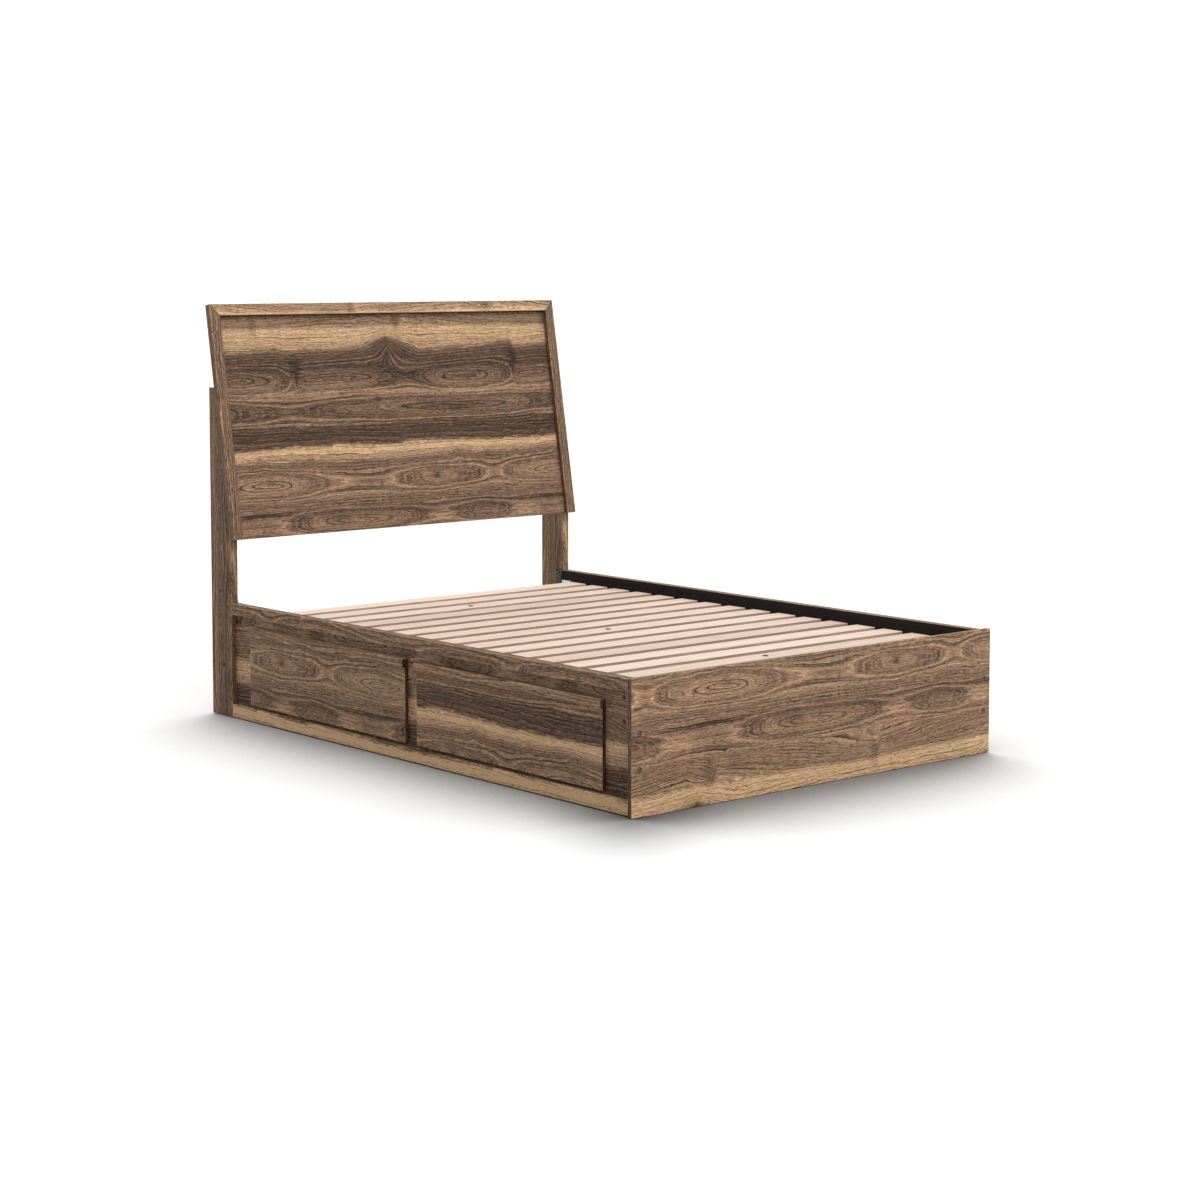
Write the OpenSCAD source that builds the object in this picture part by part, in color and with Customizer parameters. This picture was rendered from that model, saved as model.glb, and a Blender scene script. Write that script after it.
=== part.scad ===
// Platform bed for a full-size mattress, with two drawers on one side.
// Frame: X across the bed (drawers at -X), Y along it (headboard at +Y), Z up.
// The origin is on the floor, at the middle of the bed's box.

/* [Bed] */
// Width of the headboard and the footboard
bed_w = 1460; // [1442:2:1520]
// Length from the outer face of the footboard to the front of the posts
bed_l = 2014; // [2008:1:2040]
// Height of the footboard's top edge
foot_h = 384; // [381:1:410]
// Thickness of the footboard
foot_t = 15; // [14:1:20]
// Height of the glides under the footboard and the posts
glide_h = 2; // [2:1:4]

/* [Headboard] */
// Backward lean of the headboard in degrees
head_lean = 9.93; // [8:0.01:11]
// Length of the headboard measured along its face
head_len = 782.5; // [760:0.5:810]
// Height of the headboard's bottom edge at its front face
head_z = 595; // [585:0.5:610]
// Distance from the post's front back to the headboard's bottom front edge
head_lead = 32; // [30:0.5:34]
// Thickness of the headboard's frame
head_t = 26; // [24:1:30]
// Face width of the headboard's frame
head_face = 37; // [30:1:42]
// Depth of the panel behind the face of the headboard's frame
head_recess = 15; // [12:1:18]
// Width of a post across the bed
post_w = 24; // [22:1:28]
// Depth of a post along the bed
post_d = 123; // [118:1:130]
// Height of a post's top
post_h = 1090; // [1020:1:1120]

/* [Sides] */
// Distance of the rails in from the ends of the footboard
side_in = 8; // [8:0.5:10]
// Thickness of the top and low rails
rail_t = 15; // [14:0.5:16]
// Height of the top edge of the sides
side_h = 380.5; // [378:0.5:381]
// Height of the top rail's face
top_rail_h = 36.5; // [34:0.5:40]
// Gap between the floor and the low rail
low_gap = 4; // [3:1:5]
// Height of the low rail's top edge
low_rail_top = 45; // [42:1:46]
// Thickness of the side panels
panel_t = 15; // [15:1:17]

/* [Slats] */
// Number of slats
slat_n = 16; // [14:1:16]
// Distance from one slat to the next
slat_pitch = 118.9; // [116:0.1:119.5]
// Width of a slat
slat_w = 80; // [70:1:84]
// Thickness of a slat
slat_t = 18; // [15:1:18]
// Height of the slats' top faces
slat_top = 345.5; // [343:0.5:347]
// Length of a slat
slat_l = 1353; // [1320:1:1354]

/* [Drawers] */
// Length of a drawer front along the bed
front_l = 859; // [845:1:862]
// Distance between the two drawer fronts
front_gap = 58; // [56:1:60]
// Distance from the footboard to the first drawer front
front_first = 118; // [114:1:120]
// Thickness of a drawer front
front_t = 12; // [11:0.5:12]
// Height of a drawer front's bottom edge
front_z = 56.5; // [55:0.5:58]
// Height of a drawer front's top edge
front_top = 312; // [308:1:313]
// Height of the pull lip along the top of a drawer front
lip_h = 26; // [22:1:28]
// Depth of a drawer box behind its front
box_depth = 540; // [520:1:560]
// Thickness of the drawer box sides
box_t = 12; // [10:1:13]
// Height of the drawer box sides
box_h = 204; // [180:1:208]
// Length of the drawer runners
runner_l = 500; // [480:5:505]

/* [Hidden] */

WALNUT = [0.45, 0.35, 0.28];
WALNUT_LIGHT = [0.55, 0.44, 0.34];
PINE = [0.90, 0.81, 0.73];
BOARD = [0.80, 0.74, 0.64];
STEEL_BLACK = [0.10, 0.10, 0.10];
STEEL = [0.62, 0.63, 0.65];
PALE = [0.90, 0.92, 0.93];
WEB = [0.85, 0.83, 0.78];

// Clearance round a screw or bolt in the hole that it passes through
hole_play = 0.2;
// How far a cut or a drilled hole runs past the face or the screw's end
past = 1;
// Gap between a closed drawer front and the side panel
front_play = 0.5;

// Headboard, in its own leaning frame: X across, Y towards its back, Z up its face
half_w = bed_w / 2;
head_y = bed_l - head_lead;
head_back_y = head_y + head_t / cos(head_lean);
bed_d = head_y + head_len * sin(head_lean) + head_t * cos(head_lean);
rebate = 8;
shadow_gap = 3;
shadow_d = 6;
cleat_w = 30;
cleat_d = 32;
cleat_z = 30;
back_rail_t = 18;
back_rail_h = 70;
back_rail_z = head_len * 0.45;
post_glide_r = 9;
post_glide_in = 22;
cleat_len = (post_h - head_z) / cos(head_lean) - 2 * cleat_z;
stretcher_t = 18;
stretcher_z = 124;
stretcher_h = 96;
stretcher_y = bed_l + 54;

// Sides, measured inwards from the end of the footboard
panel_x = side_in + rail_t;
inner_x = panel_x + panel_t;
panel_z = 6;
bolt_x = panel_x + 5;
bolt_z = [132, 231];
bolt_r = 2.5;
bolt_l = 60;
bolt_head_r = 6.5;
bolt_head_h = 3;
bolt_sink_r = 8.5;
bolt_sunk = 1.5;
bolt_end = bolt_sunk + bolt_head_h + bolt_l;
bolt_hex_r = 2.6;
bolt_hex_d = 2;
nut_r = 5;
nut_l = 13;
nut_y = 45;
nut_out = 3.5;
foot_glide_r = 6.5;
foot_glide_in = 60;
foot_cleat_w = 30;
foot_cleat_z = 60;

// Steel ledgers that carry the slats
steel_t = 2.5;
ledger_w = 30;
slat_z = slat_top - slat_t;
ledger_z = slat_z - steel_t;
ledger_clear = 5;
ledger_drop = 0.5;
notch_l = 53;
notch_top = slat_top + 1;
pad_z = 333;
pad_t = 3;
pad_gap = 2;
screw_r = 2;
screw_head_r = 4.2;
wide_head_r = 6.5;
screw_head_h = 1.4;

// Slats, counted from the footboard
slat_y0 = foot_t + 60.5;
bolt_slats = [1, 7, 13];
strap_x = 440;
strap_w = 25;
strap_t = 1;
support_in = 10;
beam_w = 22;
beam_h = 70;
leg_w = 40;
centre_bolt_r = 3;
centre_bolt_in = 40;
centre_head_r = 8.5;
centre_head_h = 2;
centre_hex_up = 0.6;
foot_pad_h = 20;
foot_pad_r = 18;
foot_neck_r = 12;
foot_rim_z = [3, 8];

// Drawers
front_y = [foot_t + front_first, foot_t + front_first + front_l + front_gap];
open_in = 18;
open_z = front_z + 11;
open_top = front_top - 11;
front_x = panel_x - front_play - front_t;
box_x = panel_x - front_play;
box_z = open_z + 6;
runner_gap = 12.7;
box_w = front_l - 2 * open_in - 2 * runner_gap;
bottom_t = 5;
bottom_up = 12;
groove = 6;
runner_x = inner_x + 6;
runner_z = box_z + 70;
case_t = 16;
case_z = 12;
case_top = ledger_z - 4;
case_back_x = box_x + box_depth + 30;
case_back_t = 12;
case_glide_r = 14;
case_glide_in = 40;

// A block between two opposite corners
module span(lo, hi) translate(lo) cube(hi - lo);

// Places things measured from the left end and the outer face of the footboard
module from_corner() translate([-bed_w / 2, -bed_d / 2, 0]) children();

// The right-hand twin of a left-hand piece
module right_hand() mirror([1, 0, 0]) children();

// Both the left-hand piece and its twin
module both_hands() {
    children();
    right_hand() children();
}

// Places things in the leaning frame of the headboard
module on_lean()
    translate([0, head_y - bed_d / 2, head_z])
        rotate([-head_lean, 0, 0])
            children();

// A round bar along +X from a start point
module bar_x(p, r, l) translate(p) rotate([0, 90, 0]) cylinder(r = r, h = l, $fn = 32);

// A round bar along +Y from a start point
module bar_y(p, r, l) translate(p) rotate([-90, 0, 0]) cylinder(r = r, h = l, $fn = 32);

// A round bar along +Z from a start point
module bar_z(p, r, l) translate(p) cylinder(r = r, h = l, $fn = 32);

// A pan-head screw driven along +X, whose head rests on the plane at p
module screw_x(p, l, head_r = screw_head_r) {
    bar_x([p[0] - screw_head_h, p[1], p[2]], head_r, screw_head_h);
    bar_x(p, screw_r, l);
}

// Screw places on the outer face of a post: Y, Z from the footboard and the floor
post_screw_up = [80, 407];
post_screw_low = [stretcher_y, stretcher_z + stretcher_h / 2];
post_screw_bite = 18;
function lean_point(up) = [
    head_y + up * sin(head_lean) + (head_t + cleat_d / 2) * cos(head_lean),
    head_z + up * cos(head_lean) - (head_t + cleat_d / 2) * sin(head_lean)
];
post_screw_at = concat([for (u = post_screw_up) lean_point(u)], [post_screw_low]);
post_screw_l = post_w + post_screw_bite;

// Screw places on the outer face of a side panel, Y and Z: a pair one above the other
// by the footboard, and a pair side by side by the post
foot_pair_y = foot_t + 42;
foot_pair_down = [56.5, 121.5];
post_pair_in = [10, 27];
post_pair_down = 60.5;
panel_screw_at = concat(
    [for (down = foot_pair_down) [foot_pair_y, side_h - down]],
    [for (in = post_pair_in) [bed_l - in, side_h - post_pair_down]]
);
panel_screw_l = panel_t - 2 * past;

// Screw places along a ledger, Y
ledger_screw_n = 6;
ledger_screw_z = slat_top + 16;
ledger_screw_end = 134;
ledger_screw_y = [
    for (i = [0:ledger_screw_n - 1])
        ledger_screw_end + i * (bed_l - 2 * ledger_screw_end) / (ledger_screw_n - 1)
];
ledger_screw_l = 12;

// Bracket that ties the end of a ledger to a post
bracket_w = 39;
bracket_z = 331;
bracket_top = 386;
bracket_lap = 8;
bracket_screw_at = [[bed_l + 31, 379], [bed_l + 18, 369.5]];
bracket_screw_l = 14;

// ---- Headboard ----

// Panel with a shadow gap in its face along the underside of the top rail
module head_panel() color(WALNUT) on_lean() difference() {
    span(
        [-half_w + head_face - rebate, head_recess, 0],
        [half_w - head_face + rebate, head_t, head_len - head_face + rebate]
    );
    span(
        [-half_w + head_face, head_recess - past, head_len - head_face - shadow_gap],
        [half_w - head_face, head_recess + shadow_d, head_len - head_face]
    );
}

// Rebate behind the headboard's frame that holds the edge of the panel
module panel_rebate()
    span(
        [-half_w + head_face - rebate, head_recess, -past],
        [half_w - head_face + rebate, head_t + past, head_len - head_face + rebate]
    );

module head_top_rail() color(WALNUT_LIGHT) on_lean() difference() {
    translate([0, head_t, 0])
        rotate([90, 0, 0])
            linear_extrude(head_t)
                polygon([
                    [-half_w, head_len], [half_w, head_len],
                    [half_w - head_face, head_len - head_face],
                    [-half_w + head_face, head_len - head_face]
                ]);
    panel_rebate();
}

module head_stile() on_lean() difference() {
    translate([0, head_t, 0])
        rotate([90, 0, 0])
            linear_extrude(head_t)
                polygon([
                    [-half_w, 0], [-half_w + head_face, 0],
                    [-half_w + head_face, head_len - head_face],
                    [-half_w, head_len]
                ]);
    panel_rebate();
}

module head_stile_left() color(WALNUT) head_stile();
module head_stile_right() color(WALNUT) right_hand() head_stile();

// Batten behind the panel's side, screwed to the inner face of a post
module head_cleat() difference() {
    on_lean() span(
        [-half_w + side_in + post_w, head_t, cleat_z],
        [-half_w + side_in + post_w + cleat_w, head_t + cleat_d, cleat_z + cleat_len]
    );
    from_corner() post_screw_holes();
}

module head_cleat_left() color(PINE) head_cleat();
module head_cleat_right() color(PINE) right_hand() head_cleat();

module head_back_rail() color(PINE) on_lean()
    span(
        [-half_w + side_in + post_w + cleat_w, head_t, back_rail_z],
        [half_w - side_in - post_w - cleat_w, head_t + back_rail_t, back_rail_z + back_rail_h]
    );

module post_screw_holes()
    for (p = post_screw_at)
        bar_x([side_in - past, p[0], p[1]], screw_r + hole_play, post_screw_l + 2 * past);

// Post whose front is cut back along the rear face of the leaning headboard
module post() from_corner() difference() {
    translate([side_in, 0, 0])
        rotate([90, 0, 90])
            linear_extrude(post_w)
                polygon([
                    [bed_l, glide_h], [bed_l + post_d, glide_h],
                    [bed_l + post_d, post_h],
                    [head_back_y + (post_h - head_z) * tan(head_lean), post_h],
                    [bed_l, head_z + (bed_l - head_back_y) / tan(head_lean)]
                ]);
    post_screw_holes();
    for (p = bracket_screw_at)
        bar_x([side_in + post_w - bracket_screw_l - past, p[0], p[1]], screw_r + hole_play,
              bracket_screw_l + 2 * past);
}

module post_left() color(WALNUT) post();
module post_right() color(WALNUT) right_hand() post();

module head_stretcher() color(WALNUT) difference() {
    from_corner() span(
        [side_in + post_w, post_screw_low[0] - stretcher_t / 2, stretcher_z],
        [bed_w - side_in - post_w, post_screw_low[0] + stretcher_t / 2,
         stretcher_z + stretcher_h]
    );
    both_hands() from_corner() post_screw_holes();
}

module post_screws() color(STEEL) both_hands() from_corner()
    for (p = post_screw_at)
        screw_x([side_in, p[0], p[1]], post_screw_l, wide_head_r);

module post_glides() color(STEEL) both_hands() from_corner()
    for (y = [post_glide_in, post_d - post_glide_in])
        bar_z([side_in + post_w / 2, bed_l + y, 0], post_glide_r, glide_h);

// ---- Footboard ----

module bolt_axes()
    for (z = bolt_z)
        translate([bolt_x, 0, z])
            children();

module footboard() color(WALNUT) difference() {
    from_corner() span([0, 0, glide_h], [bed_w, foot_t, foot_h]);
    both_hands() from_corner() bolt_axes() {
        bar_y([0, -past, 0], bolt_r + hole_play, foot_t + 2 * past);
        bar_y([0, -past, 0], bolt_sink_r, bolt_sunk + bolt_head_h + past);
    }
}

module foot_bolts() color(STEEL) both_hands() from_corner() bolt_axes() difference() {
    union() {
        bar_y([0, bolt_sunk, 0], bolt_head_r, bolt_head_h);
        bar_y([0, bolt_sunk + bolt_head_h, 0], bolt_r, bolt_l);
    }
    translate([0, bolt_sunk - past, 0])
        rotate([-90, 30, 0])
            cylinder(r = bolt_hex_r, h = bolt_hex_d + past, $fn = 6);
}

module barrel_nuts() color(STEEL) both_hands() from_corner() bolt_axes() difference() {
    bar_x([-nut_out, nut_y, 0], nut_r, nut_l);
    bar_y([0, nut_y - nut_r - past, 0], bolt_r + hole_play, 2 * (nut_r + past));
}

module foot_glides() color(STEEL) from_corner()
    for (x = [foot_glide_in, bed_w / 2, bed_w - foot_glide_in])
        bar_z([x, foot_t / 2, 0], foot_glide_r, glide_h);

// ---- Sides ----

// Side panel without its cut-outs, drilled for its screws, bolts and nuts
module plain_side_panel() from_corner() difference() {
    span([panel_x, foot_t, panel_z], [inner_x, bed_l, side_h]);
    for (p = panel_screw_at)
        bar_x([panel_x - past, p[0], p[1]], screw_r + hole_play, panel_screw_l + 2 * past);
    for (y = ledger_screw_y)
        bar_x([inner_x + steel_t - ledger_screw_l - past, y, ledger_screw_z],
              screw_r + hole_play, ledger_screw_l);
    bolt_axes() {
        bar_y([0, foot_t - past, 0], bolt_r + hole_play, bolt_end - foot_t + 3 * past);
        bar_x([-nut_out - hole_play, nut_y, 0], nut_r + hole_play, panel_t);
    }
}

module side_panel_left() color(WALNUT) difference() {
    plain_side_panel();
    from_corner() for (y = front_y)
        span(
            [panel_x - past, y + open_in, open_z],
            [inner_x + past, y + front_l - open_in, open_top]
        );
}

module side_panel_right() color(WALNUT) right_hand() plain_side_panel();

module top_rail() from_corner()
    span([side_in, foot_t, side_h - top_rail_h], [panel_x, bed_l, side_h]);

module top_rail_left() color(WALNUT) top_rail();
module top_rail_right() color(WALNUT) right_hand() top_rail();

module low_rail() from_corner()
    span([side_in, foot_t, low_gap], [panel_x, bed_l, low_rail_top]);

module low_rail_left() color(WALNUT_LIGHT) low_rail();
module low_rail_right() color(WALNUT_LIGHT) right_hand() low_rail();

// Upright leg of the steel angle along a side panel, stepped up at its head end
module ledger_uprights() color(STEEL_BLACK) both_hands() from_corner() difference() {
    span([inner_x, foot_t + ledger_clear, ledger_z],
         [inner_x + steel_t, bed_l, side_h - ledger_drop]);
    span([inner_x - past, bed_l - notch_l, ledger_z - past],
         [inner_x + steel_t + past, bed_l + past, notch_top]);
    for (y = ledger_screw_y)
        bar_x([inner_x - past, y, ledger_screw_z], screw_r + hole_play, steel_t + 2 * past);
}

// Level leg of the steel angle, which carries the ends of the slats
module ledger_shelves() color(STEEL_BLACK) both_hands() from_corner()
    span([inner_x + steel_t, foot_t + ledger_clear, ledger_z],
         [inner_x + ledger_w, bed_l - notch_l, slat_z]);

module ledger_screws() color(STEEL_BLACK) both_hands() from_corner()
    for (y = ledger_screw_y)
        translate([inner_x + steel_t, y, ledger_screw_z])
            mirror([1, 0, 0])
                screw_x([0, 0, 0], ledger_screw_l);

// Plate on the inner face of a post, with a tab that meets the end of the ledger
module post_brackets() color(STEEL_BLACK) both_hands() from_corner() difference() {
    post_x = side_in + post_w;
    union() {
        span([post_x, bed_l, bracket_z],
             [post_x + steel_t, bed_l + bracket_w, bracket_top]);
        span([post_x, bed_l, bracket_z],
             [inner_x + bracket_lap, bed_l + steel_t, side_h - ledger_drop]);
    }
    for (p = bracket_screw_at)
        bar_x([post_x - past, p[0], p[1]], screw_r + hole_play, steel_t + 2 * past);
}

module bracket_screws() color(STEEL_BLACK) both_hands() from_corner()
    for (p = bracket_screw_at)
        translate([side_in + post_w + steel_t, p[0], p[1]])
            mirror([1, 0, 0])
                screw_x([0, 0, 0], bracket_screw_l + steel_t);

module ledger_pads() color(PALE) both_hands() from_corner()
    span([inner_x, bed_l - notch_l + pad_gap, pad_z],
         [inner_x + pad_t, bed_l - pad_gap, slat_top]);

module panel_screws() color(STEEL) both_hands() from_corner()
    for (p = panel_screw_at)
        screw_x([panel_x, p[0], p[1]], panel_screw_l, wide_head_r);

module foot_cleats() color(PINE) both_hands() from_corner()
    span([inner_x, foot_t, foot_cleat_z],
         [inner_x + foot_cleat_w, foot_t + foot_cleat_w, case_top]);

// ---- Slats and their support ----

function slat_y(i) = slat_y0 + i * slat_pitch;

// Where the beam and the straps under the slats begin and end
support_y = [slat_y0 + support_in, slat_y(slat_n - 1) + slat_w - support_in];

module slats() color(PINE) from_corner()
    for (i = [0:slat_n - 1])
        difference() {
            span(
                [(bed_w - slat_l) / 2, slat_y(i), slat_z],
                [(bed_w + slat_l) / 2, slat_y(i) + slat_w, slat_top]
            );
            if (len(search(i, bolt_slats)) > 0)
                bar_z([bed_w / 2, slat_y(i) + slat_w / 2, slat_z - past],
                      centre_bolt_r + hole_play, slat_t + 2 * past);
        }

module slat_straps() color(WEB) both_hands() from_corner()
    span(
        [bed_w / 2 - strap_x - strap_w / 2, support_y[0], slat_z - strap_t],
        [bed_w / 2 - strap_x + strap_w / 2, support_y[1], slat_z]
    );

module at_centre_bolts() from_corner()
    for (i = bolt_slats)
        translate([bed_w / 2, slat_y(i) + slat_w / 2, 0])
            children();

module centre_beam() color(PINE) difference() {
    from_corner() span(
        [bed_w / 2 - beam_w / 2, support_y[0], slat_z - beam_h],
        [bed_w / 2 + beam_w / 2, support_y[1], slat_z]
    );
    at_centre_bolts()
        bar_z([0, 0, slat_z - beam_h - past], centre_bolt_r + hole_play, beam_h + 2 * past);
}

module centre_legs() color(PINE) at_centre_bolts() difference() {
    span([-leg_w / 2, -leg_w / 2, foot_pad_h], [leg_w / 2, leg_w / 2, slat_z - beam_h]);
    bar_z([0, 0, slat_z - beam_h - centre_bolt_in - past], centre_bolt_r + hole_play,
          centre_bolt_in + 2 * past);
}

module centre_feet() color(STEEL_BLACK) at_centre_bolts()
    rotate_extrude($fn = 40)
        polygon([
            [0, 0], [foot_pad_r - past, 0],
            [foot_pad_r, foot_rim_z[0]], [foot_pad_r, foot_rim_z[1]],
            [foot_neck_r, foot_pad_h], [0, foot_pad_h]
        ]);

module centre_bolts() color(STEEL) at_centre_bolts() difference() {
    union() {
        bar_z([0, 0, slat_top], centre_head_r, centre_head_h);
        bar_z([0, 0, slat_z - beam_h - centre_bolt_in], centre_bolt_r,
              slat_t + beam_h + centre_bolt_in);
    }
    translate([0, 0, slat_top + centre_hex_up])
        cylinder(r = centre_bolt_r, h = centre_head_h, $fn = 6);
}

// ---- Case that carries the drawers ----

module case_sides() color(BOARD) from_corner()
    for (y = front_y)
        for (edge = [y + open_in - case_t, y + front_l - open_in])
            span([inner_x, edge, case_z], [case_back_x, edge + case_t, case_top]);

module case_back() color(BOARD) from_corner()
    span(
        [case_back_x, front_y[0] + open_in - case_t, case_z],
        [case_back_x + case_back_t, front_y[1] + front_l - open_in + case_t, case_top]
    );

module case_glides() color(STEEL_BLACK) from_corner()
    for (y = front_y)
        for (edge = [y + open_in - case_t, y + front_l - open_in])
            for (x = [inner_x + case_glide_in, case_back_x - case_glide_in])
                bar_z([x, edge + case_t / 2, 0], case_glide_r, case_z);

// ---- Drawers: near is towards the footboard, far is towards the headboard ----

module drawer_front(y) from_corner()
    span([front_x, y, front_z], [front_x + front_t, y + front_l, front_top]);

module drawer_lip(y) from_corner()
    span([0, y, front_top - lip_h], [front_x, y + front_l, front_top]);

function box_y(y) = y + open_in + runner_gap;

// Groove in the drawer box that holds the bottom panel
module bottom_groove(y)
    span(
        [box_x + box_t - groove, box_y(y) + box_t - groove, box_z + bottom_up],
        [box_x + box_depth - box_t + groove, box_y(y) + box_w - box_t + groove,
         box_z + bottom_up + bottom_t]
    );

module box_end(y, x) from_corner() difference() {
    span([x, box_y(y) + box_t, box_z], [x + box_t, box_y(y) + box_w - box_t, box_z + box_h]);
    bottom_groove(y);
}

module box_side(y, edge) from_corner() difference() {
    span([box_x, edge, box_z], [box_x + box_depth, edge + box_t, box_z + box_h]);
    bottom_groove(y);
}

module box_bottom(y) from_corner() bottom_groove(y);

// Channel section of a runner, from its web at a to the tips of its flanges at b
module channel(a, b, half_h, t = 1.2) {
    translate([min(a, a + sign(b - a) * t), -half_h]) square([t, 2 * half_h]);
    for (s = [-1, 1])
        translate([min(a, b), s > 0 ? half_h - t : -half_h]) square([abs(b - a), t]);
}

// A pair of runners: the section's X counts from the case side towards the box
module runner_pair(y, a, b, half_h, start, l) from_corner()
    for (edge = [[y + open_in, 1], [y + front_l - open_in, -1]])
        translate([runner_x + start, edge[0], runner_z])
            mirror([0, edge[1] < 0 ? 1 : 0, 0])
                rotate([90, 0, 90])
                    linear_extrude(l)
                        channel(a, b, half_h);

module outer_runners(y)
    runner_pair(y, a = 0, b = 9, half_h = 22.5, start = 0, l = runner_l);
module middle_runners(y)
    runner_pair(y, a = 2.5, b = 10.5, half_h = 19, start = 4, l = runner_l - 8);
module inner_runners(y)
    runner_pair(y, a = runner_gap, b = 5.5, half_h = 14, start = 0, l = runner_l);

module foot_drawer_front() color(WALNUT) drawer_front(front_y[0]);
module foot_drawer_lip() color(WALNUT_LIGHT) drawer_lip(front_y[0]);
module foot_box_front() color(BOARD) box_end(front_y[0], box_x);
module foot_box_back() color(BOARD) box_end(front_y[0], box_x + box_depth - box_t);
module foot_box_side_near() color(BOARD) box_side(front_y[0], box_y(front_y[0]));
module foot_box_side_far() color(BOARD) box_side(front_y[0], box_y(front_y[0]) + box_w - box_t);
module foot_box_bottom() color(PALE) box_bottom(front_y[0]);
module foot_inner_runners() color(STEEL) inner_runners(front_y[0]);
module foot_middle_runners() color(STEEL) middle_runners(front_y[0]);
module foot_outer_runners() color(STEEL) outer_runners(front_y[0]);

module head_drawer_front() color(WALNUT) drawer_front(front_y[1]);
module head_drawer_lip() color(WALNUT_LIGHT) drawer_lip(front_y[1]);
module head_box_front() color(BOARD) box_end(front_y[1], box_x);
module head_box_back() color(BOARD) box_end(front_y[1], box_x + box_depth - box_t);
module head_box_side_near() color(BOARD) box_side(front_y[1], box_y(front_y[1]));
module head_box_side_far() color(BOARD) box_side(front_y[1], box_y(front_y[1]) + box_w - box_t);
module head_box_bottom() color(PALE) box_bottom(front_y[1]);
module head_inner_runners() color(STEEL) inner_runners(front_y[1]);
module head_middle_runners() color(STEEL) middle_runners(front_y[1]);
module head_outer_runners() color(STEEL) outer_runners(front_y[1]);

head_panel();
head_top_rail();
head_stile_left();
head_stile_right();
head_back_rail();
head_cleat_left();
head_cleat_right();
post_left();
post_right();
head_stretcher();
post_screws();
post_glides();
footboard();
foot_bolts();
barrel_nuts();
foot_glides();
side_panel_left();
side_panel_right();
top_rail_left();
top_rail_right();
low_rail_left();
low_rail_right();
ledger_uprights();
ledger_shelves();
ledger_screws();
post_brackets();
bracket_screws();
ledger_pads();
panel_screws();
foot_cleats();
slats();
slat_straps();
centre_beam();
centre_legs();
centre_feet();
centre_bolts();
case_sides();
case_back();
case_glides();
foot_drawer_front();
foot_drawer_lip();
foot_box_front();
foot_box_back();
foot_box_side_near();
foot_box_side_far();
foot_box_bottom();
foot_inner_runners();
foot_middle_runners();
foot_outer_runners();
head_drawer_front();
head_drawer_lip();
head_box_front();
head_box_back();
head_box_side_near();
head_box_side_far();
head_box_bottom();
head_inner_runners();
head_middle_runners();
head_outer_runners();
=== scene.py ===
"""Looks of a platform bed with two storage drawers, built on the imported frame.

The frame is in metres, with X across the bed, Y along it towards the headboard and Z up.
"""

import math

import bmesh
import bpy
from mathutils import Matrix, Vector


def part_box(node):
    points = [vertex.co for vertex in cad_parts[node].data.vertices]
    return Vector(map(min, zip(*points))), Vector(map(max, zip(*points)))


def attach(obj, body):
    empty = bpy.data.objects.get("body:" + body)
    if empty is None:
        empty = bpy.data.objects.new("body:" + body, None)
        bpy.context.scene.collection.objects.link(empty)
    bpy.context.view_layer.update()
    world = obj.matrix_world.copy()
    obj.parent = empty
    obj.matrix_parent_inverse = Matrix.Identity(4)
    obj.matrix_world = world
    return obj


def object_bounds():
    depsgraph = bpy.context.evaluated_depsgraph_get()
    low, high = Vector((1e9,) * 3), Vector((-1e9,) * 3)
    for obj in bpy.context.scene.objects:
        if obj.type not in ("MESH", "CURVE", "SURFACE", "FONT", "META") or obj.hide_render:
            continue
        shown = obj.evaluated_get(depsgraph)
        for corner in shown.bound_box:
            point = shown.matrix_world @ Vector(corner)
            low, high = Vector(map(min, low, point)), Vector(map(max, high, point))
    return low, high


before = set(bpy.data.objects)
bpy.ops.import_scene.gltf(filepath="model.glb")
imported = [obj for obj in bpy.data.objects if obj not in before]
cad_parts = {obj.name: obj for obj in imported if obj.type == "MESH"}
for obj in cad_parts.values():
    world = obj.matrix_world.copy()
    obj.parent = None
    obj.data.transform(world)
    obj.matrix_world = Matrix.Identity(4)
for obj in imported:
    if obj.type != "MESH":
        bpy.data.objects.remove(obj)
cad_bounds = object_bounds()

MM = 0.001
ACROSS = Vector((1, 0, 0))
ALONG = Vector((0, 1, 0))
UP = Vector((0, 0, 1))
DOWN = -UP

# The headboard leans back by this angle, so its boards have their own upward axis
LEAN = math.radians(9.93)
LEAN_UP = Vector((0, math.sin(LEAN), math.cos(LEAN)))
LEAN_DOWN = -LEAN_UP


def srgb(red, green, blue):
    """A display colour from 0 to 255 as linear values."""
    def linear(c):
        c /= 255
        return c / 12.92 if c <= 0.04045 else ((c + 0.055) / 1.055) ** 2.4
    return (linear(red), linear(green), linear(blue), 1.0)


# ---------------------------------------------------------------- shader building

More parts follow.
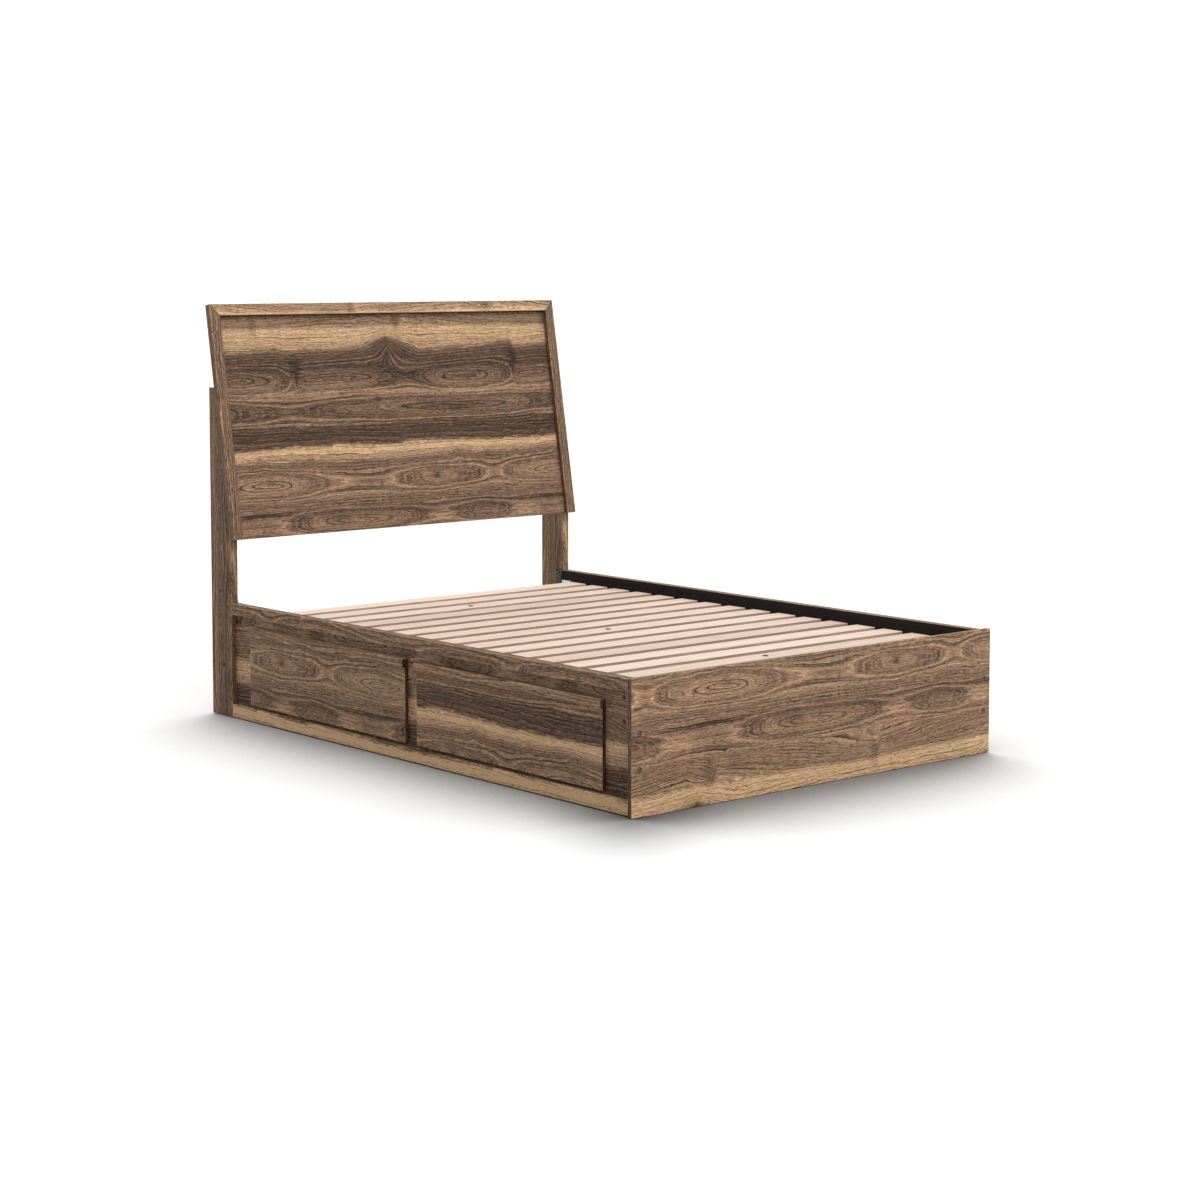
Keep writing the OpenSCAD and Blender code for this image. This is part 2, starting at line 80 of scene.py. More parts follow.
class Graph:
    """Adds nodes to one node tree. Each call returns the output of the node that it made."""

    def __init__(self, tree):
        self.tree = tree

    def node(self, kind, settings=None, inputs=None, out=0):
        made = self.tree.nodes.new("ShaderNode" + kind)
        for key, value in (settings or {}).items():
            setattr(made, key, value)
        for key, value in (inputs or {}).items():
            if isinstance(value, bpy.types.NodeSocket):
                self.tree.links.new(value, made.inputs[key])
            else:
                made.inputs[key].default_value = value
        return made.outputs[out]

    def math(self, operation, *values):
        return self.node("Math", {"operation": operation}, dict(enumerate(values)))

    def add(self, *values):
        total = values[0]
        for value in values[1:]:
            total = self.math("ADD", total, value)
        return total

    def dot(self, vector, direction):
        return self.node("VectorMath", {"operation": "DOT_PRODUCT"}, {0: vector, 1: direction}, out=1)

    def point(self, x, y, z=0.0):
        return self.node("CombineXYZ", inputs={0: x, 1: y, 2: z})

    def noise(self, vector, scale=1.0, detail=2.0, roughness=0.5):
        return self.node("TexNoise", inputs={
            "Vector": vector, "Scale": scale, "Detail": detail, "Roughness": roughness})

    def noise_line(self, position, scale, detail=2.0, roughness=0.5):
        return self.node("TexNoise", {"noise_dimensions": "1D"}, {
            "W": position, "Scale": scale, "Detail": detail, "Roughness": roughness})

    def rescale(self, value, low, high, to_low=0.0, to_high=1.0, smooth=False):
        kind = "SMOOTHSTEP" if smooth else "LINEAR"
        return self.node("MapRange", {"interpolation_type": kind}, {
            0: value, 1: low, 2: high, 3: to_low, 4: to_high})

    def ramp(self, factor, stops, interpolation="LINEAR"):
        """A colour ramp. Its stops are (position, linear colour)."""
        output = self.node("ValToRGB", inputs={0: factor})
        ramp = output.node.color_ramp
        ramp.interpolation = interpolation
        for element, (place, colour) in zip(spread_elements(ramp, len(stops)), stops):
            element.position = place
            element.color = colour
        return output

    def curve(self, factor, stops, interpolation="LINEAR"):
        """A grey ramp. Its stops are (position, value)."""
        return self.ramp(factor, [(place, (v, v, v, 1)) for place, v in stops], interpolation)

    def mix(self, factor, first, second, blend="MIX"):
        made = self.tree.nodes.new("ShaderNodeMix")
        made.data_type = "RGBA"
        made.blend_type = blend
        for socket, value in ((made.inputs[0], factor), (made.inputs[6], first), (made.inputs[7], second)):
            if isinstance(value, bpy.types.NodeSocket):
                self.tree.links.new(value, socket)
            else:
                socket.default_value = value
        return made.outputs[2]


def spread_elements(ramp, count):
    """The ramp's elements, in order, once it has this many."""
    while len(ramp.elements) < count:
        ramp.elements.new(1.0)
    return list(ramp.elements)


def new_material(name):
    """A new material, with a graph for its nodes and its surface shader."""
    material = bpy.data.materials.new(name)
    material.use_nodes = True
    nodes = material.node_tree.nodes
    return material, Graph(material.node_tree), nodes["Principled BSDF"]


def finish_surface(graph, surface, colour, roughness, height, relief, **constants):
    """Links a material's colour, roughness and relief, and sets its constants. Relief is in metres."""
    bump = graph.node("Bump", inputs={"Strength": 1.0, "Distance": relief, "Height": height})
    for name, value in {"Base Color": colour, "Roughness": roughness, "Normal": bump}.items():
        graph.tree.links.new(value, surface.inputs[name])
    for name, value in constants.items():
        surface.inputs[name.replace("_", " ")].default_value = value


# ---------------------------------------------------------------- walnut laminate

# The printed sheet repeats after this distance along its grain and across it,
# and each repeat across the grain is shifted along it. All its places are in millimetres,
# u along the grain and v across it.
SHEET_U = 1250
SHEET_V = 805
SHEET_SHIFT = 638
# The bands on the boards' ends are cut this much further across the sheet
END_BAND_V = 270
# The usual width of a growth ring, and of the fine rings inside it
RING = 8
FINE_RING = 2.9
# Rings are diamonds at one and ellipses at two
OVAL = 1.6
# The painted highlight on a board's arrises is full this near to the edge, and ends this far from it
ARRIS_HIGHLIGHT_FULL = 0.4 * MM
ARRIS_HIGHLIGHT_END = 2.2 * MM

# How light the sheet is from its top edge down: place across the grain, and tone
TONES = [
    (0, 0.52), (40, 0.54), (80, 0.60), (100, 0.86), (138, 0.92), (158, 0.72), (172, 0.42),
    (205, 0.26), (260, 0.32), (305, 0.50), (316, 0.66), (330, 0.52), (350, 0.42), (390, 0.38),
    (422, 0.50), (430, 0.14), (436, 0.40), (446, 0.18), (455, 0.32), (468, 0.18), (478, 0.34),
    (491, 0.30), (499, 0.90), (515, 0.98), (535, 0.74), (560, 0.46), (600, 0.54), (660, 0.54),
    (700, 0.48), (725, 0.38), (765, 0.50), (805, 0.52),
]

# How bold the growth rings' lines are across the grain
BOLD = [(0, 0.9), (75, 0.9), (145, 0.9), (175, 1.1), (415, 1.0), (430, 1.6), (490, 1.6), (503, 0.6),
        (545, 1.0), (805, 0.9)]

# The distance across the grain from the hearts of the planks: zero at each heart
HEARTS = [
    (0, 50), (100, 150), (270, 0), (316, 46), (319, 59), (375, 0), (498, 123), (502, 120),
    (622, 0), (703, 81), (707, 48), (755, 0), (805, 50),
]

# For each heart, the edges of its plank, its reach, and how far its rings have closed in along
# the grain. The rings draw ovals round every low place, pointed arches on the slopes, and end
# at a knot where it drops.
ARCHES = {
    270: (120, 316, 150, [(0, 44), (8, 46), (20, 14), (90, 0), (160, 8), (250, 24), (322, 46),
                          (334, 12), (480, 0), (560, 6), (650, 20), (730, 34), (790, 40),
                          (880, 30), (960, 14), (1060, 6), (1140, 16), (1200, 30)]),
    375: (318, 499, 110, [(0, 20), (85, 34), (110, 34), (180, 38), (290, 44),
                          (450, 34), (650, 24), (850, 12), (1000, 8), (1150, 12)]),
    622: (501, 704, 130, [(0, 26), (100, 10), (180, 0), (260, 16), (370, 38), (500, 46), (600, 48),
                          (700, 44), (800, 34), (870, 26), (960, 32),
                          (1050, 38), (1130, 48), (1180, 40)]),
    755: (706, 805, 100, [(0, 46), (100, 48), (250, 44), (330, 30), (430, 8), (520, 0), (600, 8),
                          (700, 24), (800, 42), (900, 46), (960, 42), (1050, 34), (1100, 34),
                          (1170, 42), (1210, 46)]),
}

# Where the grain is pushed down (or up, below zero) about a place across it: the knots' cusps
# and steps. Each has its reach, the share that moves the tones as well, and its shift at each
# place along the grain.
PUSHES = {
    50: (75, 0.12, [(0, 26), (100, 36), (182, 42), (196, 24), (330, 12), (470, -2), (670, -18),
                    (735, 0), (768, 12), (784, -30), (860, -26), (970, -14), (1170, 18)]),
    168: (95, 1.0, [(0, -14), (12, -14), (22, 8), (260, -2), (290, 6), (500, 2), (600, -6),
                    (655, -22), (690, -42), (712, -62), (735, -42), (780, -14), (850, 12),
                    (1000, 8), (1150, -6), (1225, -14)]),
    475: (55, 1.0, [(0, 0), (440, 5), (452, -8), (735, 6), (750, -6), (1180, 6), (1192, -6)]),
    550: (40, 0.7, [(0, 3), (125, 0), (160, -8), (195, 0), (330, 4), (350, -9), (372, 3),
                    (655, 4), (680, -6), (705, 4), (945, 2), (975, -12), (1020, 3), (1210, 3),
                    (1230, -8)]),
}

# Dark places: u, v, reach along and across the grain, and how dark
SMUDGES = [
    (326, 238, 22, 40, 0.34), (14, 216, 18, 40, 0.34), (690, 272, 60, 30, 0.12),
    (995, 376, 130, 18, 0.24), (860, 368, 34, 22, 0.16), (652, 340, 14, 16, 0.22),
    (180, 606, 14, 12, 0.20), (872, 616, 24, 15, 0.24), (1020, 622, 14, 7, 0.26),
    (600, 628, 60, 10, 0.14), (870, 744, 80, 10, 0.16), (170, 716, 110, 10, 0.14),
    (440, 748, 46, 20, 0.14), (150, 762, 90, 22, 0.10), (758, 60, 16, 50, 0.16),
    (806, 50, 18, 45, -0.12), (174, 88, 16, 45, 0.14), (204, 80, 22, 40, -0.10),
]


def around(stops, length):
    """A curve's stops as shares of the length at which it repeats, closed at both ends."""
    first, last = stops[0], stops[-1]
    gap = first[0] + length - last[0]
    seam = last[1] + (first[1] - last[1]) * (length - last[0]) / gap if gap else first[1]
    closed = ([] if first[0] == 0 else [(0, seam)]) + stops + ([] if last[0] == length else [(length, seam)])
    return [(place / length, value) for place, value in closed]


def level_curve(graph, share, stops, length, interpolation="LINEAR"):
    """A repeating curve through millimetre values, which a grey ramp holds as shares of its range."""
    low = min(value for _, value in stops)
    high = max(value for _, value in stops)
    shares = [(place, (value - low) / (high - low)) for place, value in around(stops, length)]
    return graph.math("MULTIPLY_ADD", graph.curve(share, shares, interpolation), high - low, low)


def near_level(graph, v, level, reach):
    """One at a level across the grain, falling to zero at its reach."""
    away = graph.math("WRAP", graph.math("SUBTRACT", v, level), SHEET_V / 2, -SHEET_V / 2)
    return graph.rescale(graph.math("ABSOLUTE", away), 0, reach, 1.0, 0.0, smooth=True)


def in_plank(graph, v, level, reach, first, last):
    """One at a plank's heart, fading evenly to its reach, and zero beyond the plank's edges."""
    away = graph.math("ABSOLUTE", graph.math("SUBTRACT", v, level))
    inside = graph.math("COMPARE", v, (first + last) / 2, (last - first) / 2)
    return graph.math("MULTIPLY", graph.rescale(away, 0, reach, 1.0, 0.0), inside)


def smudge(graph, u, v, place_u, place_v, reach_u, reach_v, dark):
    """One dark place, with a soft edge."""
    du = graph.math("WRAP", graph.math("SUBTRACT", u, place_u), SHEET_U / 2, -SHEET_U / 2)
    offset = graph.point(graph.math("DIVIDE", du, reach_u),
                         graph.math("DIVIDE", graph.math("SUBTRACT", v, place_v), reach_v))
    distance = graph.node("VectorMath", {"operation": "LENGTH"}, {0: offset}, out=1)
    return graph.rescale(distance, 0.0, 1.8, dark, 0.0, smooth=True)


def stretched(graph, u, v, along, across, detail=2.0, roughness=0.5):
    """Noise with features this many millimetres long and wide."""
    place = graph.point(graph.math("DIVIDE", u, along), graph.math("DIVIDE", v, across))
    return graph.noise(place, 1.0, detail, roughness)


def bent_rows(graph, u, v, row_u, row_v):
    """Two places across the grain, bent as it is: an even one for the rings, a frayed one for the tones."""
    wander = graph.rescale(stretched(graph, u, v, 420, 90), 0.3, 0.7, -6, 6)
    quiver = graph.rescale(stretched(graph, u, v, 90, 22, 2.0), 0.3, 0.7, -1.8, 1.8)
    fray = graph.rescale(stretched(graph, u, v, 45, 4, 3.0, 0.7), 0.3, 0.7, -7, 7)
    share_u = graph.math("DIVIDE", row_u, SHEET_U)
    pushes = [graph.math("MULTIPLY", level_curve(graph, share_u, stops, SHEET_U),
                         near_level(graph, row_v, level, reach))
              for level, (reach, _, stops) in PUSHES.items()]
    shares = [graph.math("MULTIPLY", push, share)
              for push, (_, share, _) in zip(pushes, PUSHES.values())]
    waved = graph.add(row_v, wander, quiver)
    even = graph.math("SUBTRACT", waved, graph.add(*pushes))
    frayed = graph.math("SUBTRACT", graph.math("ADD", waved, fray), graph.add(*shares))
    return graph.math("WRAP", even, SHEET_V, 0.0), graph.math("WRAP", frayed, SHEET_V, 0.0)


def ring_places(graph, row_u, even_v):
    """How far each place is from the heart of its plank. The growth rings are this field's contours."""
    share_u = graph.math("DIVIDE", row_u, SHEET_U)
    share_v = graph.math("DIVIDE", even_v, SHEET_V)
    arches = [graph.math("MULTIPLY", level_curve(graph, share_u, stops, SHEET_U, "CARDINAL"),
                         in_plank(graph, even_v, level, reach, first, last))
              for level, (first, last, reach, stops) in ARCHES.items()]
    across = graph.math("POWER", level_curve(graph, share_v, HEARTS, SHEET_V), OVAL)
    along = graph.math("POWER", graph.math("MAXIMUM", graph.add(*arches), 0.0), OVAL)
    return graph.math("POWER", graph.math("ADD", across, along), 1 / OVAL)


def ring_lines(graph, u, v, even_v, rings):
    """How much the growth rings darken each place.

    Each ring darkens towards its end and starts light again. Rings differ in width and darkness,
    and their lines fade in and out along the grain.
    """
    uneven = graph.noise_line(graph.math("DIVIDE", rings, 26), 1.0, 2.0)
    count = graph.math("ADD", graph.math("DIVIDE", rings, RING), graph.math("MULTIPLY", uneven, 3.0))
    line = graph.rescale(graph.math("FRACT", count), 0.62, 0.97)
    own = graph.node("TexWhiteNoise", {"noise_dimensions": "1D"}, {"W": graph.math("FLOOR", count)})
    patches = graph.rescale(stretched(graph, u, v, 240, 40), 0.35, 0.65, 0.40, 1.1, smooth=True)
    bold = level_curve(graph, graph.math("DIVIDE", even_v, SHEET_V), BOLD, SHEET_V)
    strength = graph.math("MULTIPLY", graph.math("MULTIPLY_ADD", own, 0.9, 0.15),
                          graph.math("MULTIPLY", patches, bold))
    return graph.math("MULTIPLY", line, strength)


def dark_places(graph, u, v, row_u, row_v):
    """The sheet's smudges, streaked along the grain."""
    darks = [smudge(graph, row_u, row_v, *place) for place in SMUDGES]
    cloud = graph.rescale(stretched(graph, u, v, 60, 9, 3.0, 0.7), 0.35, 0.65, 0.3, 1.4)
    return graph.math("MULTIPLY", graph.add(*darks), cloud)


def sheet_group():
    """The walnut print as a node group: from a place on the sheet to its tone and its height."""
    tree = bpy.data.node_groups.new("walnut_sheet", "ShaderNodeTree")
    for name in ("U", "V"):
        tree.interface.new_socket(name, in_out="INPUT", socket_type="NodeSocketFloat")
    for name in ("Tone", "Height"):
        tree.interface.new_socket(name, in_out="OUTPUT", socket_type="NodeSocketFloat")
    graph = Graph(tree)
    entry = tree.nodes.new("NodeGroupInput")
    u, v = entry.outputs["U"], entry.outputs["V"]

    row = graph.math("FLOOR", graph.math("DIVIDE", v, SHEET_V))
    row_v = graph.math("SUBTRACT", v, graph.math("MULTIPLY", row, SHEET_V))
    row_u = graph.math("WRAP", graph.math("MULTIPLY_ADD", row, SHEET_SHIFT, u), SHEET_U, 0.0)
    even_v, frayed_v = bent_rows(graph, u, v, row_u, row_v)
    rings = ring_places(graph, row_u, even_v)
    broad = graph.noise_line(graph.math("DIVIDE", rings, 34), 1.0, 1.0)
    fine = graph.noise_line(graph.math("DIVIDE", rings, FINE_RING), 1.0, 2.0, 0.7)

    # Fibres: long streaks along the grain. Hairs: short fine ones. Pores: dark dashes.
    fibre = stretched(graph, u, even_v, 130, 5, 3.0, 0.75)
    hairs = stretched(graph, u, even_v, 26, 3.0, 2.0, 0.8)
    pores = graph.rescale(stretched(graph, u, v, 16, 3.0, 1.0), 0.58, 0.66, smooth=True)

    tone = graph.add(
        graph.curve(graph.math("DIVIDE", frayed_v, SHEET_V), around(TONES, SHEET_V), "EASE"),
        graph.math("MULTIPLY", ring_lines(graph, u, v, even_v, rings), -0.64),
        graph.rescale(broad, 0.3, 0.7, -0.10, 0.10),
        graph.rescale(fine, 0.3, 0.7, -0.16, 0.16),
        graph.rescale(fibre, 0.3, 0.7, -0.15, 0.15),
        graph.rescale(hairs, 0.3, 0.7, -0.21, 0.21),
        graph.math("MULTIPLY", pores, -0.26),
        graph.math("MULTIPLY", dark_places(graph, u, v, row_u, row_v), -1.0),
        0.03,
    )
    height = graph.math("SUBTRACT", graph.math("MULTIPLY", fibre, 0.5), pores)
    leave = tree.nodes.new("NodeGroupOutput")
    tree.links.new(tone, leave.inputs["Tone"])
    tree.links.new(height, leave.inputs["Height"])
    return tree


SHEET = sheet_group()
WALNUT_COLOURS = [
    (0.00, srgb(34, 24, 18)), (0.18, srgb(58, 43, 33)), (0.38, srgb(84, 64, 49)),
    (0.52, srgb(103, 80, 62)), (0.70, srgb(127, 101, 78)), (0.90, srgb(154, 125, 94)),
    (1.00, srgb(174, 144, 108)),
]


def extent(node, axis):
    """The lowest and highest place of a CAD node along an axis."""
    places = [vertex.co.dot(axis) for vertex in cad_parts[node].data.vertices]
    return min(places), max(places)


def arris_highlight(graph, position, spans):
    """A painted highlight: one on a board's arrises, where two of its sides meet, broken up by noise. Zero
    elsewhere.

    Each span is a place across the board and the board's size in that direction.
    """
    sides = []
    for place, size in spans:
        off_middle = graph.math("ABSOLUTE", graph.math("SUBTRACT", place, size / 2))
        sides.append(graph.rescale(off_middle, size / 2 - ARRIS_HIGHLIGHT_END, size / 2 - ARRIS_HIGHLIGHT_FULL, smooth=True))
    arris = graph.math("GREATER_THAN", graph.add(*sides), 1.5)
    # Noise breaks up the painted highlight along the arrises
    highlight_breakup = graph.rescale(graph.noise(position, 40.0, 2.0), 0.35, 0.65, 0.3, 1.0)
    return graph.math("MULTIPLY", arris, highlight_breakup)


def walnut(node, grain, down, u, v, tone, end_tone):
    """Walnut laminate for one board: the sheet laid with its grain along one axis.

    u and v are the place on the sheet of the board's corner where grain and down are lowest.
    Its ends carry an edge band with the grain across them, and its arrises are lightened by a painted
    highlight.
    """
    material, graph, surface = new_material("walnut_" + node)
    position = graph.node("TexCoord", out=3)
    normal = graph.node("NewGeometry", out=1)

    def measure(axis):
        low, high = extent(node, axis)
        return graph.math("SUBTRACT", graph.dot(position, axis), low), high - low

    spans = [measure(axis) for axis in (grain, down, grain.cross(down))]
    along, below, deep = (place for place, _ in spans)
    end = graph.rescale(graph.math("ABSOLUTE", graph.dot(normal, grain)), 0.6, 0.8)
    face_u = graph.math("MULTIPLY_ADD", along, 1 / MM, u)
    face_v = graph.math("MULTIPLY_ADD", graph.math("ADD", below, deep), 1 / MM, v)
    band_u = graph.math("MULTIPLY_ADD", below, 1 / MM, u)
    band_v = graph.math("MULTIPLY_ADD", deep, 1 / MM, v + END_BAND_V)
    mix_u = graph.add(face_u, graph.math("MULTIPLY", end, graph.math("SUBTRACT", band_u, face_u)))
    mix_v = graph.add(face_v, graph.math("MULTIPLY", end, graph.math("SUBTRACT", band_v, face_v)))
    sheet = graph.node("Group", {"node_tree": SHEET}, {"U": mix_u, "V": mix_v}).node

    # A painted highlight lightens the arrises
    painted_highlight = graph.math("MULTIPLY", arris_highlight(graph, position, spans), 0.16)
    value = graph.add(sheet.outputs["Tone"], painted_highlight, tone, graph.math("MULTIPLY", end, end_tone))
    colour = graph.ramp(value, WALNUT_COLOURS)
    roughness = graph.rescale(sheet.outputs["Tone"], 0.0, 1.0, 0.62, 0.50)
    finish_surface(graph, surface, colour, roughness, sheet.outputs["Height"], 0.12 * MM,
                   Specular_IOR_Level=0.12)
    return material


# ---------------------------------------------------------------- other materials

def softwood(name, grain, across, light, dark, pitch=0.0, first=0.0, sawn_edge_and_shade=0.0):
    """Sanded softwood or plain board. With a pitch, each slat at that spacing has its own grain.

    The faces across the grain can be darker: partly the cut edges' own tone, partly painted shade where the
    slats' edges face into the gaps.
    """
    material, graph, surface = new_material(name)
    position = graph.node("TexCoord", out=3)
    normal = graph.node("NewGeometry", out=1)
    through = grain.cross(across)
    u, v, w = (graph.dot(position, axis) for axis in (grain, across, through))
    own = 0.5
    if pitch:
        index = graph.math("FLOOR", graph.math("DIVIDE", graph.math("SUBTRACT", v, first), pitch))
        own = graph.node("TexWhiteNoise", {"noise_dimensions": "1D"}, {"W": index})
        u = graph.math("ADD", u, graph.math("MULTIPLY", own, 9.0))
    wander = graph.noise(graph.point(graph.math("MULTIPLY", u, 1.2), graph.math("MULTIPLY", v, 9.0), w))
    rings = graph.add(v, w, graph.math("MULTIPLY", wander, 0.12))
    stripes = graph.noise_line(rings, 85.0, detail=3.0, roughness=0.6)
    fibre = graph.noise(graph.point(graph.math("MULTIPLY", u, 10.0), graph.math("MULTIPLY", v, 380.0),
                                    graph.math("MULTIPLY", w, 380.0)), detail=3.0, roughness=0.6)
    knots = graph.noise(graph.point(graph.math("MULTIPLY", u, 5.0), graph.math("MULTIPLY", v, 16.0), w),
                        detail=1.0)
    knots = graph.rescale(knots, 0.70, 0.78, smooth=True)
    value = graph.add(graph.rescale(stripes, 0.3, 0.7, -0.30, 0.30), 0.62,
                      graph.rescale(fibre, 0.3, 0.7, -0.16, 0.16),
                      graph.math("MULTIPLY", graph.math("SUBTRACT", own, 0.5), 0.35),
                      graph.math("MULTIPLY", knots, -0.35),
                      # Faces across the grain are darkened: cut-edge tone plus painted shade
                      graph.math("MULTIPLY", graph.math("ABSOLUTE", graph.dot(normal, across)), -sawn_edge_and_shade))
    colour = graph.ramp(value, [(0.0, dark), (0.45, blend(dark, light, 0.6)), (1.0, light)])
    finish_surface(graph, surface, colour, graph.rescale(fibre, 0.3, 0.7, 0.52, 0.66), fibre, 0.10 * MM,
                   Specular_IOR_Level=0.25)
    return material


def blend(first, second, share):
    """The colour that lies this share of the way from the first to the second."""
    return tuple(a + (b - a) * share for a, b in zip(first, second))


def grainy(name, colour, metallic, rough_low, rough_high, scale, stretch=(1, 1, 1), relief=0.03,
           spread=0.25, shine=0.15):
    """Metal, powder coat or moulded plastic, with a fine grain that can be drawn out along one axis."""
    material, graph, surface = new_material(name)
    position = graph.node("TexCoord", out=3)
    drawn = graph.node("Mapping", inputs={"Vector": position, "Scale": stretch})
    fine = graph.noise(drawn, scale, 3.0, 0.6)
    marks = graph.noise(position, 22.0, 4.0, 0.6)
    value = graph.math("ADD", graph.math("MULTIPLY", fine, 0.6), graph.math("MULTIPLY", marks, 0.4))
    shade = graph.ramp(value, [(0.3, blend(colour, (0, 0, 0, 1), spread)),
                               (0.7, blend(colour, (1, 1, 1, 1), spread * 0.35))])
    finish_surface(graph, surface, shade, graph.rescale(value, 0.3, 0.7, rough_low, rough_high),
                   fine, relief * MM, Metallic=metallic, Specular_IOR_Level=shine)
    return material


def webbing(name, thread=1.5 * MM):
    """Woven cotton tape, with this distance from thread to thread."""
    material, graph, surface = new_material(name)
    position = graph.node("TexCoord", out=3)
    warp = graph.math("SINE", graph.math("MULTIPLY", graph.dot(position, ACROSS), math.tau / thread))
    weft = graph.math("SINE", graph.math("MULTIPLY", graph.dot(position, ALONG), math.tau / thread))
    weave = graph.rescale(graph.math("MULTIPLY", warp, weft), -1.0, 1.0)
    fuzz = graph.noise(position, 260.0, 3.0, 0.7)
    value = graph.math("ADD", graph.math("MULTIPLY", weave, 0.6), graph.math("MULTIPLY", fuzz, 0.4))
    colour = graph.ramp(value, [(0.2, srgb(150, 143, 128)), (0.8, srgb(214, 208, 194))])
    finish_surface(graph, surface, colour, graph.rescale(fuzz, 0.0, 1.0, 0.8, 0.95), weave, 0.2 * MM)
    return material


# ---------------------------------------------------------------- dressing the CAD nodes

def dress(node, material, bevel=0.0):
    """Gives a CAD node its material, and rounds its arrises by a modifier that leaves its mesh alone."""
    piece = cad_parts[node]
    if not piece.data.materials:
        piece.data.materials.append(material)
    for slot in piece.material_slots:
        slot.material = material
    if bevel:
        weld = piece.modifiers.new("joined_corners", "WELD")
        weld.merge_threshold = 0.01 * MM
        rounding = piece.modifiers.new("arrises", "BEVEL")
        rounding.width = bevel
        rounding.segments = 2
        rounding.limit_method = "ANGLE"
        rounding.angle_limit = math.radians(40)
        smooth = piece.modifiers.new("flat_faces", "WEIGHTED_NORMAL")
        smooth.keep_sharp = True


# Where each board lies on the sheet: grain direction, direction down the sheet, u, v and tone
BOARDS = {
    "head_panel": (ACROSS, LEAN_DOWN, 37, 37, -0.04),
    "head_top_rail": (ACROSS, LEAN_DOWN, 860, 60, 0.12),
    "head_stile_left": (LEAN_UP, ACROSS, 500, 432, 0.22),
    "head_stile_right": (LEAN_UP, ACROSS, 100, 440, 0.24),
    "post_left": (UP, -ALONG, 330, 640, -0.07),
    "post_right": (UP, -ALONG, 330, 640, 0.08),
    "head_stretcher": (ACROSS, DOWN, 400, 610, 0.0),
    "footboard": (ACROSS, DOWN, -168, 565, 0.03),
    "side_panel_left": (-ALONG, DOWN, 450, -95, -0.06),
    "side_panel_right": (ALONG, DOWN, 450, 560, 0.0),
    "top_rail_left": (-ALONG, DOWN, 900, 575, -0.02),
    "top_rail_right": (ALONG, DOWN, 200, 575, 0.0),
    "low_rail_left": (-ALONG, DOWN, 300, 492, 0.22),
    "low_rail_right": (ALONG, DOWN, 700, 494, 0.12),
    "foot_drawer_front": (-ALONG, DOWN, 693, 364, 0.05),
    "foot_drawer_lip": (-ALONG, DOWN, 600, 655, 0.02),
    "head_drawer_front": (-ALONG, DOWN, 685, 525, 0.05),
    "head_drawer_lip": (-ALONG, DOWN, 150, 570, 0.02),
}
for board, (grain, down, u, v, tone) in BOARDS.items():
    rounding = 0.0 if board == "footboard" else 0.8 * MM
    end_tone = -0.4 if "drawer" in board else -0.2
    dress(board, walnut(board, grain, down, u, v, tone, end_tone), rounding)

SLATS = 16
SLAT_WIDTH = 80 * MM
slats_low, slats_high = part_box("slats")
SLAT_PITCH = (slats_high[1] - slats_low[1] - SLAT_WIDTH) / (SLATS - 1)
# The slats' edges are darkened, partly as cut wood and partly as painted shade in the gaps between slats
slat_wood = softwood("slat_wood", ACROSS, ALONG, srgb(184, 165, 151), srgb(132, 108, 93),
                     pitch=SLAT_PITCH, first=slats_low[1] - 10 * MM, sawn_edge_and_shade=0.7)
frame_wood_x = softwood("frame_wood_across", ACROSS, UP, srgb(190, 160, 124), srgb(140, 108, 78))
frame_wood_y = softwood("frame_wood_along", ALONG, UP, srgb(190, 160, 124), srgb(140, 108, 78))
frame_wood_z = softwood("frame_wood_upright", UP, ACROSS, srgb(190, 160, 124), srgb(140, 108, 78))
case_board = softwood("case_board", ACROSS, UP, srgb(104, 84, 68), srgb(74, 58, 47))
drawer_board = softwood("drawer_board", ACROSS, UP, srgb(180, 160, 134), srgb(150, 128, 102))
drawer_bottom = softwood("drawer_bottom", ALONG, ACROSS, srgb(186, 170, 148), srgb(160, 142, 120))
black_steel = grainy("black_steel", srgb(36, 32, 31), 0.0, 0.50, 0.62, 900.0, relief=0.04,
                     spread=0.03, shine=0.0)
bracket_steel = grainy("bracket_steel", srgb(40, 42, 46), 0.0, 0.45, 0.58, 900.0, relief=0.04)
bolt_steel = grainy("bolt_steel", srgb(84, 80, 76), 1.0, 0.35, 0.50, 500.0, relief=0.02)
dark_bolt = grainy("dark_bolt", srgb(34, 36, 42), 1.0, 0.40, 0.55, 500.0, relief=0.02)
black_screw = grainy("black_screw", srgb(34, 34, 36), 1.0, 0.40, 0.55, 500.0, relief=0.02, spread=0.1)
runner_steel = grainy("runner_steel", srgb(176, 178, 182), 1.0, 0.25, 0.38, 300.0, (1, 12, 12), 0.01)
glide_plastic = grainy("glide_plastic", srgb(38, 37, 37), 0.0, 0.45, 0.60, 1200.0, relief=0.03)
pad_plastic = grainy("pad_plastic", srgb(222, 230, 236), 0.0, 0.40, 0.50, 800.0, relief=0.02, spread=0.08)
tape = webbing("webbing")

